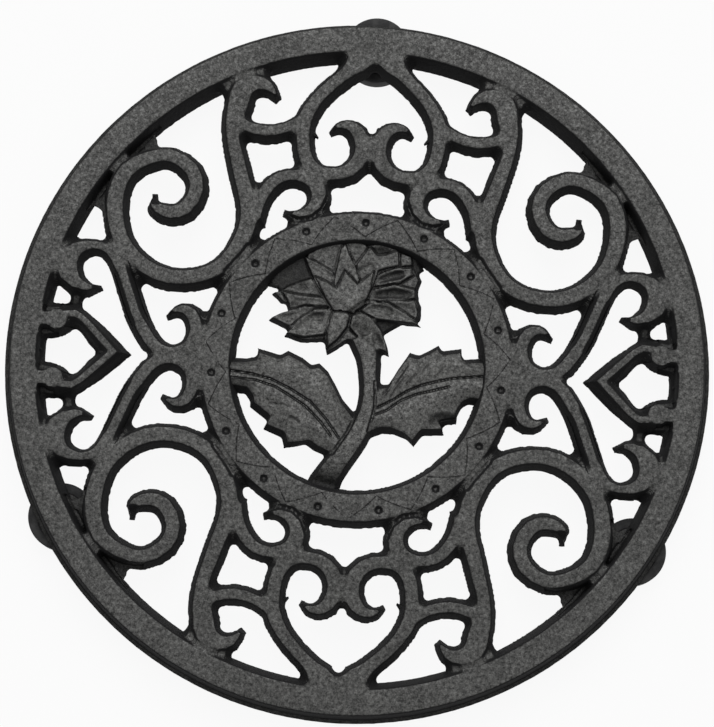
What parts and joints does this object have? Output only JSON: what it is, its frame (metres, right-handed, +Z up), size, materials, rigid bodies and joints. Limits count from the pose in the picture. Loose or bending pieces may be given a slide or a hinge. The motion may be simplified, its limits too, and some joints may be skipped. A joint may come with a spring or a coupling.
{
  "type": "trivet",
  "caption": "Round cast-iron trivet with scrollwork, hearts and a flower medallion, on three push-on rubber feet.",
  "frame": {"origin": "centre of the rim, on the surface that the three feet stand on", "axes": "+Z up, out of the face that a hot pan stands on; +Y from the centre towards the upper heart and rubber_foot_1; +X to the right of the flower as seen from above"},
  "size_m": [0.2, 0.2027, 0.0164],
  "materials": {
    "cast_iron": "satin black, sand-cast",
    "rubber": "matt black"
  },
  "bodies": {
    "root": {"rim": "cast_iron", "medallion_ring": "cast_iron", "corner_scroll_1": "cast_iron", "corner_scroll_2": "cast_iron", "corner_scroll_3": "cast_iron", "corner_scroll_4": "cast_iron", "heart_scroll_1": "cast_iron", "heart_scroll_2": "cast_iron", "heart_scroll_3": "cast_iron", "heart_scroll_4": "cast_iron", "side_scroll_1": "cast_iron", "side_scroll_2": "cast_iron", "side_scroll_3": "cast_iron", "side_scroll_4": "cast_iron", "heart_tie_1": "cast_iron", "heart_tie_2": "cast_iron", "heart_tie_3": "cast_iron", "heart_tie_4": "cast_iron", "hook_curl_1": "cast_iron", "hook_curl_2": "cast_iron", "hook_curl_3": "cast_iron", "hook_curl_4": "cast_iron", "chevron_right": "cast_iron", "chevron_left": "cast_iron", "flower_head": "cast_iron", "flower_stem": "cast_iron", "leaf_left": "cast_iron", "leaf_right": "cast_iron", "foot_peg_1": "cast_iron", "foot_peg_2": "cast_iron", "foot_peg_3": "cast_iron", "rubber_foot_1": "rubber", "rubber_foot_2": "rubber", "rubber_foot_3": "rubber"}
  },
  "joints": []
}
